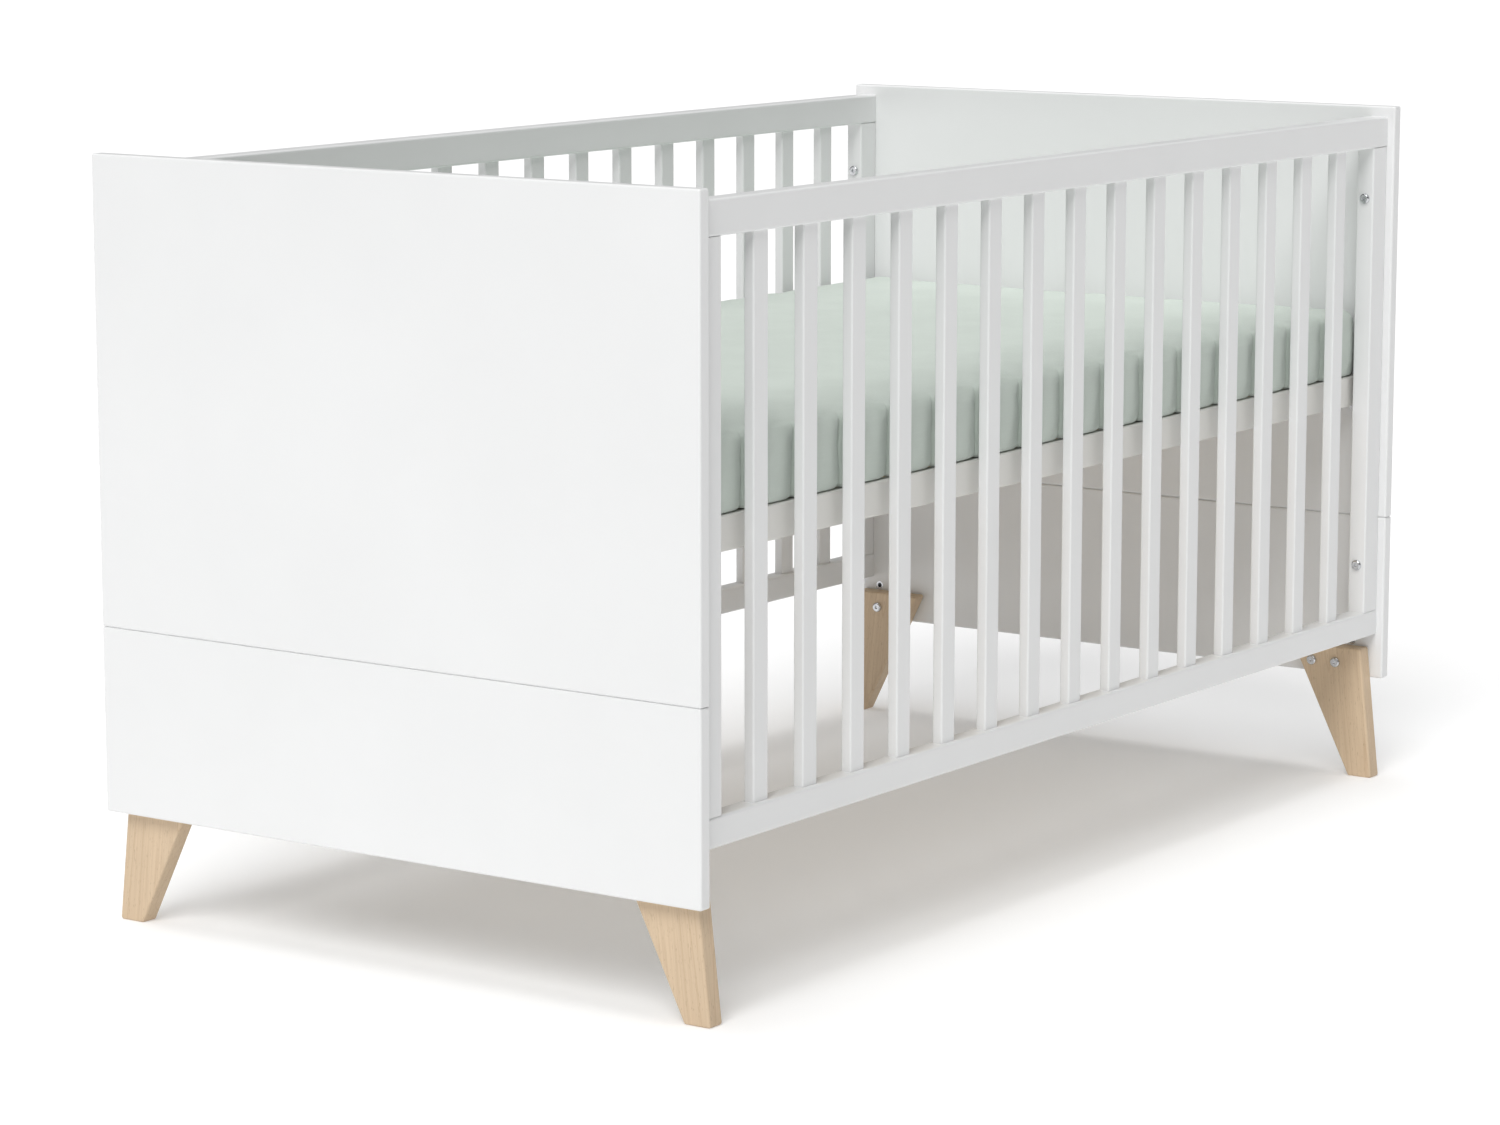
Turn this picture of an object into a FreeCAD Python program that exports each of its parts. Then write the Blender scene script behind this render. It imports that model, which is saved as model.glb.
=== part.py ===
"""Baby crib: two solid end panels on splayed wooden legs, two slatted sides, a height-adjustable
mattress base and a mattress in its fitted sheet.

Millimetres. +X runs along the crib from the foot end to the head end, +Y from the front side to the
back side, +Z up. The origin is the middle of the floor under the crib.
"""
import FreeCAD, Part
import math
import os

import Sketcher

V = FreeCAD.Vector
doc = FreeCAD.newDocument("baby_crib")

# ---------------------------------------------------------------------------------- dimensions

DIMENSIONS = {
    # overall
    "crib_length": 1440.0,
    "crib_width": 770.0,
    "crib_height": 813.0,
    # end panels, each of two boards that meet at the seam
    "panel_thickness": 16.0,
    "panel_bottom": 120.0,
    "seam_height": 318.0,
    "panel_edge_radius": 2.5,
    # slatted sides
    "side_inset": 9.0,
    "rail_thickness": 23.0,
    "top_rail_drop": 12.0,
    "top_rail_height": 36.0,
    "bottom_rail_base": 174.0,
    "bottom_rail_height": 31.0,
    "rail_edge_radius": 3.0,
    "stile_width": 33.0,
    "stile_thickness": 22.0,
    "stile_edge_radius": 2.0,
    "bar_count": 15,
    "bar_width": 25.0,
    "bar_thickness": 12.0,
    "bar_edge_radius": 2.0,
    "tenon_length": 10.0,
    "mortise_depth": 11.0,
    # legs
    "leg_thickness": 22.0,
    "leg_height": 158.0,
    "leg_top_outer": 366.0,
    "leg_top_inner": 273.5,
    "foot_outer": 384.0,
    "foot_inner": 352.5,
    "leg_edge_radius": 3.0,
    # mattress base
    "base_top": 490.0,
    "base_height": 36.0,
    "base_half_width": 348.0,
    "base_rail_thickness": 21.0,
    "base_end_clearance": 1.5,
    "base_edge_radius": 2.0,
    "rebate_width": 10.0,
    "slat_count": 12,
    "slat_width": 68.0,
    "slat_thickness": 10.0,
    "slat_end_play": 0.5,
    # mattress
    "mattress_length": 1396.0,
    "mattress_width": 696.0,
    "mattress_thickness": 76.0,
    "mattress_edge_radius": 16.0,
    "mattress_gap": 0.4,
    "sheet_thickness": 1.5,
    "hem_width": 70.0,
    # hardware
    "dowel_radius": 4.0,
    "dowel_length": 35.0,
    "board_dowel_inner": 110.0,
    "board_dowel_outer": 310.0,
    "stile_dowel_offset": 8.0,
    "insert_radius": 5.0,
    "insert_length": 12.5,
    "insert_bore_radius": 3.0,
    "bolt_radius": 2.9,
    "bolt_hole_radius": 3.3,
    "bolt_head_radius": 6.2,
    "bolt_head_height": 3.4,
    "bolt_head_rim": 0.85,
    "bolt_head_flat_radius": 4.5,
    "bolt_tip_chamfer": 0.75,
    "bolt_tip_play": 1.0,
    "bolt_socket_radius": 2.3,
    "bolt_socket_depth": 2.0,
    "upper_side_bolt_height": 705.0,
    "lower_side_bolt_height": 263.0,
    "leg_bolt_height": 138.5,
    "leg_bolt_inner": 301.0,
    "leg_bolt_outer": 333.0,
    "pin_radius": 3.5,
    "pin_length": 13.0,
    "pin_offset": 344.0,
    "pin_end_play": 0.4,
    "pin_low_height": 163.5,
    "slat_screw_radius": 1.6,
    "slat_screw_length": 18.0,
    "slat_screw_head_radius": 3.4,
    "slat_screw_head_height": 1.8,
    "slat_screw_inset": 5.0,
    "frame_screw_radius": 2.4,
    "frame_screw_length": 60.0,
    "frame_screw_head_radius": 4.6,
    "frame_screw_head_height": 2.4,
    "frame_screw_spacing": 12.0,
}

DERIVED = {
    "inner_half_length": "crib_length / 2 - panel_thickness",
    "side_centre": "crib_width / 2 - side_inset - rail_thickness / 2",
    "top_rail_base": "crib_height - top_rail_drop - top_rail_height",
    "bottom_rail_top": "bottom_rail_base + bottom_rail_height",
    "stile_centre": "inner_half_length - stile_width / 2",
    "bar_gap": "(2 * (inner_half_length - stile_width) - bar_count * bar_width) / (bar_count + 1)",
    "bar_pitch": "bar_width + bar_gap",
    "base_bottom": "base_top - base_height",
    "base_half_length": "inner_half_length - base_end_clearance",
    "base_inner_half_length": "base_half_length - base_rail_thickness",
    "base_inner_half_width": "base_half_width - base_rail_thickness",
    "slat_gap": "(2 * base_inner_half_length - slat_count * slat_width) / (slat_count + 1)",
    "slat_pitch": "slat_width + slat_gap",
    "mattress_bottom": "base_top + mattress_gap + sheet_thickness",
    "pin_high_height": "base_bottom - pin_radius",
    "frame_screw_middle": "(base_height - slat_thickness) / 2",
}


def make_sheet():
    """The spreadsheet that holds every driving and derived dimension under its own name."""
    table = doc.addObject("Spreadsheet::Sheet", "dims")
    entries = [(name, str(value)) for name, value in DIMENSIONS.items()]
    entries += [(name, "=" + formula) for name, formula in DERIVED.items()]
    for row, (name, content) in enumerate(entries, start=1):
        table.set(f"A{row}", name)
        table.set(f"B{row}", content)
        table.setAlias(f"B{row}", name)
        if row % 20 == 0:
            doc.recompute()
    doc.recompute()
    return table


sheet = make_sheet()


def dim(name):
    """The present value of one dimension."""
    return float(getattr(sheet, name))


def linked(expression):
    """The expression with each dimension's name pointing at the spreadsheet."""
    words = sorted([*DIMENSIONS, *DERIVED], key=len, reverse=True)
    pieces = []
    rest = expression
    while rest:
        word = next((w for w in words if rest.startswith(w)), None)
        pieces.append(f"dims.{word}" if word else rest[0])
        rest = rest[len(word):] if word else rest[1:]
    return "".join(pieces)


def bind(obj, **expressions):
    """Bind properties to spreadsheet expressions; Base_x stands for Placement.Base.x."""
    for name, expression in expressions.items():
        path = name.replace("Base_", "Placement.Base.")
        obj.setExpression(path, linked(str(expression)))


# --------------------------------------------------------------------- part design vocabulary

def new_body(label, x="0", y="0", z="0", turned=False):
    """An empty body whose own origin stands at x, y, z, turned half a turn about Z if asked."""
    body = doc.addObject("PartDesign::Body", label)
    body.Label = label
    if turned:
        body.Placement.Rotation = FreeCAD.Rotation(V(0, 0, 1), 180)
    bind(body, Base_x=x, Base_y=y, Base_z=z)
    return body


def new_sketch(body, name, role, offset="0"):
    """A sketch on one of the body's own origin planes, moved along that plane's normal."""
    sketch = body.newObject("Sketcher::SketchObject", f"{body.Label}_{name}")
    plane = next(f for f in body.Origin.OriginFeatures if f.Role == role)
    sketch.AttachmentSupport = [(plane, "")]
    sketch.MapMode = "FlatFace"
    sketch.setExpression("AttachmentOffset.Base.z", linked(offset))
    return sketch


def add_polygon(sketch, corners):
    """A closed outline through corners, each a pair of expressions, every one bound."""
    count = len(corners)
    start = [V(10.0 * math.cos(2 * math.pi * i / count), 10.0 * math.sin(2 * math.pi * i / count), 0)
             for i in range(count)]
    first = sketch.GeometryCount
    for i in range(count):
        sketch.addGeometry(Part.LineSegment(start[i], start[(i + 1) % count]), False)
    for i in range(count):
        sketch.addConstraint(Sketcher.Constraint(
            "Coincident", first + i, 2, first + (i + 1) % count, 1))
    for i, (across, up) in enumerate(corners):
        for kind, expression in (("DistanceX", across), ("DistanceY", up)):
            number = sketch.addConstraint(Sketcher.Constraint(kind, -1, 1, first + i, 1, 1.0))
            sketch.setExpression(f"Constraints[{number}]", linked(expression))


def add_rectangle(sketch, width, height, across="0", up="0"):
    """A rectangle of the given size with its centre at across, up."""
    left, right = f"({across}) - ({width}) / 2", f"({across}) + ({width}) / 2"
    low, high = f"({up}) - ({height}) / 2", f"({up}) + ({height}) / 2"
    add_polygon(sketch, [(left, low), (right, low), (right, high), (left, high)])


def add_circle(sketch, radius, across, up):
    """A circle of the given radius with its centre at across, up."""
    circle = Part.Circle(V(1, 1, 0), V(0, 0, 1), 1.0)
    index = sketch.addGeometry(circle, False)
    for kind, expression in (("DistanceX", across), ("DistanceY", up)):
        number = sketch.addConstraint(Sketcher.Constraint(kind, -1, 1, index, 3, 1.0))
        sketch.setExpression(f"Constraints[{number}]", linked(expression))
    number = sketch.addConstraint(Sketcher.Constraint("Radius", index, 1.0))
    sketch.setExpression(f"Constraints[{number}]", linked(radius))


def pad(body, sketch, length):
    """Pull the sketch out along its normal."""
    feature = body.newObject("PartDesign::Pad", f"{sketch.Name}_pad")
    feature.Profile = sketch
    bind(feature, Length=length)
    doc.recompute()
    return feature


def pocket(body, sketch, depth):
    """Cut the sketch into the body along the sketch's normal, and check that it removed material."""
    before = body.Shape.Volume
    feature = body.newObject("PartDesign::Pocket", f"{sketch.Name}_cut")
    feature.Profile = sketch
    feature.Reversed = True
    bind(feature, Length=depth)
    doc.recompute()
    if body.Shape.Volume > before - 1.0:
        raise ValueError(f"{sketch.Name} cuts nothing out of {body.Label}")
    return feature


def row_of(body, feature, axis, pitch, count):
    """Repeat a feature along one of the body's own axes."""
    before = body.Shape.Volume
    pattern = body.newObject("PartDesign::LinearPattern", f"{feature.Name}_row")
    pattern.Originals = [feature]
    line = next(f for f in body.Origin.OriginFeatures if f.Role == axis)
    pattern.Direction = (line, [""])
    pattern.Mode = "Spacing"
    bind(pattern, Offset=pitch, Occurrences=count)
    body.Tip = pattern
    doc.recompute()
    if body.Shape.Volume > before - 1.0:
        raise ValueError(f"{pattern.Name} repeats nothing")
    return pattern


def round_edges(body, feature, radius, direction=None):
    """Round every edge of the feature, or only those that run along one direction."""
    names = []
    for number, edge in enumerate(feature.Shape.Edges, start=1):
        way = edge.tangentAt(edge.FirstParameter)
        if direction is None or abs(way.dot(direction)) > 0.999:
            names.append(f"Edge{number}")
    fillet = body.newObject("PartDesign::Fillet", f"{feature.Name}_rounded")
    fillet.Base = (feature, names)
    bind(fillet, Radius=radius)
    doc.recompute()
    return fillet


ALONG = {"x": V(1, 0, 0), "y": V(0, 1, 0), "z": V(0, 0, 1)}


def timber(label, size, place, radius, grain, turned=False):
    """A straight length of timber: size and low corner-centre place, edges along the grain rounded.

    The body's origin is the middle of its bottom face.
    """
    body = new_body(label, *place, turned=turned)
    outline = new_sketch(body, "outline", "XY_Plane")
    add_rectangle(outline, size[0], size[1])
    stock = pad(body, outline, size[2])
    round_edges(body, stock, radius, ALONG[grain] if grain else None)
    return body


# ------------------------------------------------------------------------------------ end panels

def insert_holes(body, bottom, holes):
    """Blind holes for threaded inserts, drilled from the board's inner face towards the outside."""
    sketch = new_sketch(body, "insert_holes", "YZ_Plane", "panel_thickness / 2 - insert_length")
    for across, height in holes:
        for side in ("-1", "1"):
            add_circle(sketch, "insert_radius", f"{side} * {across}", f"{height} - {bottom}")
    pocket(body, sketch, "insert_length")


def seam_holes(body, start):
    """Holes for the four dowels that line the two boards up, half in each board."""
    sketch = new_sketch(body, "seam_holes", "XY_Plane", start)
    for across in ("board_dowel_inner", "board_dowel_outer"):
        for side in ("-1", "1"):
            add_circle(sketch, "dowel_radius", "0", f"{side} * {across}")
    pocket(body, sketch, "dowel_length / 2")


def end_panel(end, sign):
    """One end panel: an upper and a lower board, inserts and dowel holes on their hidden sides."""
    turned = sign > 0
    place = f"{sign} * (crib_length / 2 - panel_thickness / 2)"
    upper = timber(f"{end}_end_upper_board",
                   ("panel_thickness", "crib_width", "crib_height - seam_height"),
                   (place, "0", "seam_height"), "panel_edge_radius", None, turned)
    insert_holes(upper, "seam_height", [("side_centre", "upper_side_bolt_height"),
                                        ("pin_offset", "pin_high_height")])
    seam_holes(upper, "0")
    lower = timber(f"{end}_end_lower_board",
                   ("panel_thickness", "crib_width", "seam_height - panel_bottom"),
                   (place, "0", "panel_bottom"), "panel_edge_radius", None, turned)
    insert_holes(lower, "panel_bottom", [("side_centre", "lower_side_bolt_height"),
                                         ("pin_offset", "pin_low_height"),
                                         ("leg_bolt_inner", "leg_bolt_height"),
                                         ("leg_bolt_outer", "leg_bolt_height")])
    seam_holes(lower, "seam_height - panel_bottom - dowel_length / 2")
    return [upper, lower]


def leg(label, x_side, y_side):
    """One splayed leg: a tapering board bolted flat against the end panel's inner face."""
    body = new_body(label, f"{x_side} * (inner_half_length - leg_thickness / 2)", turned=y_side > 0)
    outline = new_sketch(body, "outline", "YZ_Plane", "-leg_thickness / 2")
    add_polygon(outline, [("-foot_outer", "0"), ("-foot_inner", "0"),
                          ("-leg_top_inner", "leg_height"), ("-leg_top_outer", "leg_height")])
    stock = pad(body, outline, "leg_thickness")
    round_edges(body, stock, "leg_edge_radius")
    holes = new_sketch(body, "bolt_holes", "YZ_Plane", "-leg_thickness / 2")
    for across in ("leg_bolt_inner", "leg_bolt_outer"):
        add_circle(holes, "bolt_hole_radius", f"-{across}", "leg_bolt_height")
    pocket(body, holes, "leg_thickness")
    return body


# ---------------------------------------------------------------------------------- slatted sides

def side_rail(label, y_side, base, height, socket_plane):
    """A full-length rail with a row of mortises for the bars and dowel holes for the stiles."""
    body = timber(label, ("2 * inner_half_length", "rail_thickness", height),
                  ("0", f"{y_side} * side_centre", base), "rail_edge_radius", "x")
    mortise = new_sketch(body, "mortise", "XY_Plane", f"({socket_plane}) * ({height} - mortise_depth)")
    add_rectangle(mortise, "bar_width", "bar_thickness", "-(bar_count - 1) / 2 * bar_pitch")
    first = pocket(body, mortise, "mortise_depth")
    row_of(body, first, "X_Axis", "bar_pitch", "bar_count")
    sockets = new_sketch(body, "dowel_holes", "XY_Plane",
                         f"({socket_plane}) * ({height} - dowel_length / 2)")
    for end in ("-1", "1"):
        for step in ("-1", "1"):
            add_circle(sockets, "dowel_radius",
                       f"{end} * (stile_centre + {step} * stile_dowel_offset)", "0")
    pocket(body, sockets, "dowel_length / 2")
    return body


def stile(label, x_side, y_side):
    """An upright between the rails, bolted through to the end panel at two heights."""
    height = "top_rail_base - bottom_rail_top"
    body = timber(label, ("stile_width", "stile_thickness", height),
                  (f"{x_side} * stile_centre", f"{y_side} * side_centre", "bottom_rail_top"),
                  "stile_edge_radius", "z")
    for name, start in (("lower", "0"), ("upper", f"{height} - dowel_length / 2")):
        sketch = new_sketch(body, f"{name}_dowel_holes", "XY_Plane", start)
        for step in ("-1", "1"):
            add_circle(sketch, "dowel_radius", f"{step} * stile_dowel_offset", "0")
        pocket(body, sketch, "dowel_length / 2")
    bolts = new_sketch(body, "bolt_holes", "YZ_Plane", "-stile_width / 2")
    for level in ("lower", "upper"):
        add_circle(bolts, "bolt_hole_radius", "0", f"{level}_side_bolt_height - bottom_rail_top")
    pocket(body, bolts, "stile_width")
    return body


def bar(label, number, y_side):
    """One upright bar with its ends let into the rails."""
    return timber(label, ("bar_width", "bar_thickness",
                          "top_rail_base - bottom_rail_top + 2 * tenon_length"),
                  (f"({number} - (bar_count - 1) / 2) * bar_pitch", f"{y_side} * side_centre",
                   "bottom_rail_top - tenon_length"), "bar_edge_radius", "z")


def slatted_side(side, y_side):
    """Rails, stiles and bars of one long side."""
    pieces = [side_rail(f"{side}_top_rail", y_side, "top_rail_base", "top_rail_height", "0"),
              side_rail(f"{side}_bottom_rail", y_side, "bottom_rail_base", "bottom_rail_height", "1")]
    pieces += [stile(f"{side}_{end}_stile", x_side, y_side) for end, x_side in ENDS]
    pieces += [bar(f"{side}_bar_{number + 1:02d}", number, y_side)
               for number in range(DIMENSIONS["bar_count"])]
    return pieces


# ---------------------------------------------------------------------------------- mattress base

def base_long_rail(label, turned):
    """A long rail of the mattress base: its inner top edge is rebated for the slats' ends."""
    sign = "1" if turned else "-1"
    place = ("0", f"{sign} * (base_half_width - base_rail_thickness / 2)", "base_bottom")
    body = timber(label, ("2 * base_half_length", "base_rail_thickness", "base_height"), place,
                  "base_edge_radius", "x", turned)
    rebate = new_sketch(body, "rebate", "XY_Plane", "base_height - slat_thickness")
    add_rectangle(rebate, "2 * base_inner_half_length", "rebate_width", "0",
                  "base_rail_thickness / 2 - rebate_width / 2")
    pocket(body, rebate, "slat_thickness")
    hole = new_sketch(body, "slat_screw_hole", "XY_Plane",
                      "base_height - slat_screw_length")
    add_circle(hole, "slat_screw_radius", "-(slat_count - 1) / 2 * slat_pitch",
               "base_rail_thickness / 2 - slat_screw_inset")
    row_of(body, pocket(body, hole, "slat_screw_length"), "X_Axis", "slat_pitch", "slat_count")
    holes = new_sketch(body, "frame_screw_holes", "XZ_Plane", "-base_rail_thickness / 2")
    frame_screw_circles(holes, "frame_screw_radius")
    pocket(body, holes, "base_rail_thickness")
    heads = new_sketch(body, "frame_screw_heads", "XZ_Plane",
                       "base_rail_thickness / 2 - frame_screw_head_height")
    frame_screw_circles(heads, "frame_screw_head_radius")
    pocket(body, heads, "frame_screw_head_height")
    return body


def frame_screw_circles(sketch, radius):
    """The circles of the corner screws: one above the other near each end of a long rail."""
    for end in ("-1", "1"):
        for step in ("-1", "1"):
            add_circle(sketch, radius, f"{end} * (base_half_length - base_rail_thickness / 2)",
                       f"frame_screw_middle + {step} * frame_screw_spacing / 2")


def base_end_rail(label, x_side):
    """A short rail of the mattress base, screwed between the long rails."""
    body = timber(label, ("base_rail_thickness", "2 * base_inner_half_width", "base_height"),
                  (f"{x_side} * (base_half_length - base_rail_thickness / 2)", "0", "base_bottom"),
                  "base_edge_radius", "y")
    for name, start in (("back", "-base_inner_half_width"),
                        ("front", "base_inner_half_width - frame_screw_length + base_rail_thickness")):
        sketch = new_sketch(body, f"{name}_screw_holes", "XZ_Plane", start)
        for step in ("-1", "1"):
            add_circle(sketch, "frame_screw_radius", "0",
                       f"frame_screw_middle + {step} * frame_screw_spacing / 2")
        pocket(body, sketch, "frame_screw_length - base_rail_thickness")
    return body


def slat(number):
    """One slat across the base, screwed down at both ends."""
    length = "2 * (base_inner_half_width + rebate_width - slat_end_play)"
    body = timber(f"slat_{number + 1:02d}", ("slat_width", length, "slat_thickness"),
                  (f"({number} - (slat_count - 1) / 2) * slat_pitch", "0", "base_top - slat_thickness"),
                  "base_edge_radius", "y")
    holes = new_sketch(body, "screw_holes", "XY_Plane")
    heads = new_sketch(body, "screw_heads", "XY_Plane", "slat_thickness - slat_screw_head_height")
    for side in ("-1", "1"):
        across = f"{side} * (base_inner_half_width + slat_screw_inset)"
        add_circle(holes, "slat_screw_radius", "0", across)
        add_circle(heads, "slat_screw_head_radius", "0", across)
    pocket(body, holes, "slat_thickness")
    pocket(body, heads, "slat_screw_head_height")
    return body


# -------------------------------------------------------------------------------------- mattress

def soft_block(name, length, width, height, bottom, radius):
    """A block with softly rounded edges, standing on the given height."""
    block = doc.addObject("Part::Box", f"{name}_block")
    bind(block, Length=length, Width=width, Height=height,
         Base_x=f"-({length}) / 2", Base_y=f"-({width}) / 2", Base_z=bottom)
    doc.recompute()
    rounded = doc.addObject("Part::Fillet", name)
    rounded.Base = block
    rounded.Edges = [(number + 1, radius, radius) for number in range(len(block.Shape.Edges))]
    doc.recompute()
    return rounded


def mattress():
    """The foam core and the fitted sheet drawn over it, open underneath inside its hem."""
    core_size = ("mattress_length", "mattress_width", "mattress_thickness")
    radius = dim("mattress_edge_radius")
    core = soft_block("mattress_core", *core_size, "mattress_bottom", radius)
    core.Label = "mattress_core"
    outer = soft_block("sheet_outside", *(f"{size} + 2 * sheet_thickness" for size in core_size),
                       "mattress_bottom - sheet_thickness", radius + dim("sheet_thickness"))
    inner = soft_block("sheet_inside", *core_size, "mattress_bottom", radius)
    opening = doc.addObject("Part::Box", "sheet_opening")
    bind(opening, Length="mattress_length - 2 * hem_width", Width="mattress_width - 2 * hem_width",
         Height="4 * sheet_thickness", Base_x="hem_width - mattress_length / 2",
         Base_y="hem_width - mattress_width / 2", Base_z="mattress_bottom - 2 * sheet_thickness")
    shell = doc.addObject("Part::Cut", "sheet_shell")
    shell.Base, shell.Tool = outer, inner
    cover = doc.addObject("Part::Cut", "fitted_sheet")
    cover.Base, cover.Tool = shell, opening
    cover.Label = "fitted_sheet"
    doc.recompute()
    return [core, cover]


# -------------------------------------------------------------------------------------- hardware

def group(label, members):
    """One node that holds many like fasteners as separate solids."""
    node = doc.addObject("Part::Compound", label)
    node.Label = label
    node.Links = members
    doc.recompute()
    return node


def rod(name, radius, length, place, way):
    """A cylinder from place along way, one of the six axis directions."""
    cylinder = doc.addObject("Part::Cylinder", name)
    cylinder.Placement.Rotation = FreeCAD.Rotation(V(0, 0, 1), way)
    bind(cylinder, Radius=radius, Height=length, Base_x=place[0], Base_y=place[1], Base_z=place[2])
    return cylinder


def wood_dowels():
    """The dowels across each seam and between the rails and the stiles."""
    places = []
    for _, x_side in ENDS:
        for y_side in (-1, 1):
            for across in ("board_dowel_inner", "board_dowel_outer"):
                places.append((f"{x_side} * (crib_length / 2 - panel_thickness / 2)",
                               f"{y_side} * {across}", "seam_height - dowel_length / 2"))
            for step in (-1, 1):
                for level in ("top_rail_base", "bottom_rail_top"):
                    places.append((f"{x_side} * (stile_centre + {step} * stile_dowel_offset)",
                                   f"{y_side} * side_centre", f"{level} - dowel_length / 2"))
    return group("wood_dowels", [rod(f"dowel_{i + 1}", "dowel_radius", "dowel_length", place, ALONG["z"])
                                 for i, place in enumerate(places)])


def insert_places():
    """Across and height of the threaded inserts on one half of one end panel."""
    return [("side_centre", "upper_side_bolt_height"), ("side_centre", "lower_side_bolt_height"),
            ("pin_offset", "pin_high_height"), ("pin_offset", "pin_low_height"),
            ("leg_bolt_inner", "leg_bolt_height"), ("leg_bolt_outer", "leg_bolt_height")]


def threaded_inserts():
    """Metal sleeves in the end panels that take the bolts and the support pins."""
    sleeves = []
    for _, x_side in ENDS:
        way = ALONG["x"] * x_side
        for y_side in (-1, 1):
            for across, height in insert_places():
                place = (f"{x_side} * inner_half_length", f"{y_side} * {across}", height)
                number = len(sleeves) + 1
                outside = rod(f"insert_body_{number}", "insert_radius", "insert_length", place, way)
                bore = rod(f"insert_bore_{number}", "insert_bore_radius", "insert_length", place, way)
                sleeve = doc.addObject("Part::Cut", f"insert_{number}")
                sleeve.Base, sleeve.Tool = outside, bore
                sleeves.append(sleeve)
    return group("threaded_inserts", sleeves)


def bolt_shape(length):
    """A button-head socket bolt: the underside of its head at the origin, its shank along +Z."""
    radius, height = dim("bolt_head_radius"), dim("bolt_head_height")
    rim, flat = dim("bolt_head_rim"), dim("bolt_head_flat_radius")
    quarter = math.radians(90)
    middle_of_dome = V(flat + (radius - flat) * math.sin(quarter / 2), 0,
                       -rim - (height - rim) * math.cos(quarter / 2))
    dome = Part.Arc(V(radius, 0, -rim), middle_of_dome, V(flat, 0, -height))
    shank, chamfer = dim("bolt_radius"), dim("bolt_tip_chamfer")
    points = [V(flat, 0, -height), V(0, 0, -height), V(0, 0, length), V(shank - chamfer, 0, length),
              V(shank, 0, length - chamfer), V(shank, 0, 0), V(radius, 0, 0), V(radius, 0, -rim)]
    edges = [Part.makeLine(a, b) for a, b in zip(points, points[1:])]
    profile = Part.Face(Part.Wire([dome.toShape(), *edges]))
    solid = profile.revolve(V(0, 0, 0), V(0, 0, 1), 360)
    corners = [V(dim("bolt_socket_radius") * math.cos(math.radians(60 * i)),
                 dim("bolt_socket_radius") * math.sin(math.radians(60 * i)), -height)
               for i in range(7)]
    socket = Part.Face(Part.makePolygon(corners)).extrude(V(0, 0, dim("bolt_socket_depth")))
    return solid.cut(socket)


def screw_shape(radius, length, head_radius, head_height):
    """A countersunk screw with a flat head: its top at the origin, its point along -Z."""
    tip = 2 * radius
    points = [V(0, 0, 0), V(head_radius, 0, 0), V(radius, 0, -head_height),
              V(radius, 0, tip - length), V(0, 0, -length), V(0, 0, 0)]
    return Part.Face(Part.makePolygon(points)).revolve(V(0, 0, 0), V(0, 0, 1), 360)


def fastener_group(label, shape, places):
    """Copies of one fastener, each at a place and turned so that its +Z lies along a way."""
    copies = []
    for place, way in places:
        copy = shape.copy()
        copy.Placement = FreeCAD.Placement(place, FreeCAD.Rotation(V(0, 0, 1), way))
        copies.append(copy)
    node = doc.addObject("Part::Feature", label)
    node.Label = label
    node.Shape = Part.makeCompound(copies)
    return node


def side_bolts():
    """Bolts through the stiles into the end panels."""
    seat = dim("inner_half_length") - dim("stile_width")
    reach = dim("insert_length") - dim("bolt_tip_play")
    places = [(V(x_side * seat, y_side * dim("side_centre"), dim(f"{level}_side_bolt_height")),
               ALONG["x"] * x_side)
              for _, x_side in ENDS for y_side in (-1, 1) for level in ("lower", "upper")]
    return fastener_group("side_bolts", bolt_shape(dim("stile_width") + reach), places)


def leg_bolts():
    """Bolts through the legs into the end panels."""
    seat = dim("inner_half_length") - dim("leg_thickness")
    reach = dim("insert_length") - dim("bolt_tip_play")
    places = [(V(x_side * seat, y_side * dim(f"leg_bolt_{row}"), dim("leg_bolt_height")),
               ALONG["x"] * x_side)
              for _, x_side in ENDS for y_side in (-1, 1) for row in ("inner", "outer")]
    return fastener_group("leg_bolts", bolt_shape(dim("leg_thickness") + reach), places)


def support_pins():
    """The four pins under the base's corners, drawn up to the end panels' faces."""
    pins = []
    for _, x_side in ENDS:
        for y_side in (-1, 1):
            place = (f"{x_side} * (inner_half_length - pin_end_play - pin_length)",
                     f"{y_side} * pin_offset", "pin_high_height")
            pins.append(rod(f"pin_{len(pins) + 1}", "pin_radius", "pin_length", place,
                            ALONG["x"] * x_side))
    return group("support_pins", pins)


def slat_screws():
    """Countersunk screws that hold the slats in the rebates."""
    shape = screw_shape(dim("slat_screw_radius"), dim("slat_screw_length"),
                        dim("slat_screw_head_radius"), dim("slat_screw_head_height"))
    across = dim("base_inner_half_width") + dim("slat_screw_inset")
    middle = (DIMENSIONS["slat_count"] - 1) / 2
    places = [(V((number - middle) * dim("slat_pitch"), y_side * across, dim("base_top")), ALONG["z"])
              for number in range(DIMENSIONS["slat_count"]) for y_side in (-1, 1)]
    return fastener_group("slat_screws", shape, places)


def frame_screws():
    """Countersunk screws through the base's long rails into the ends of its short rails."""
    shape = screw_shape(dim("frame_screw_radius"), dim("frame_screw_length"),
                        dim("frame_screw_head_radius"), dim("frame_screw_head_height"))
    middle = dim("base_bottom") + dim("frame_screw_middle")
    across = dim("base_half_length") - dim("base_rail_thickness") / 2
    places = [(V(x_side * across, y_side * dim("base_half_width"),
                 middle + step * dim("frame_screw_spacing") / 2), ALONG["y"] * y_side)
              for _, x_side in ENDS for y_side in (-1, 1) for step in (-1, 1)]
    return fastener_group("base_frame_screws", shape, places)


# -------------------------------------------------------------------------------------- assembly

ENDS = (("foot", -1), ("head", 1))
SIDES = (("front", -1), ("back", 1))


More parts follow.
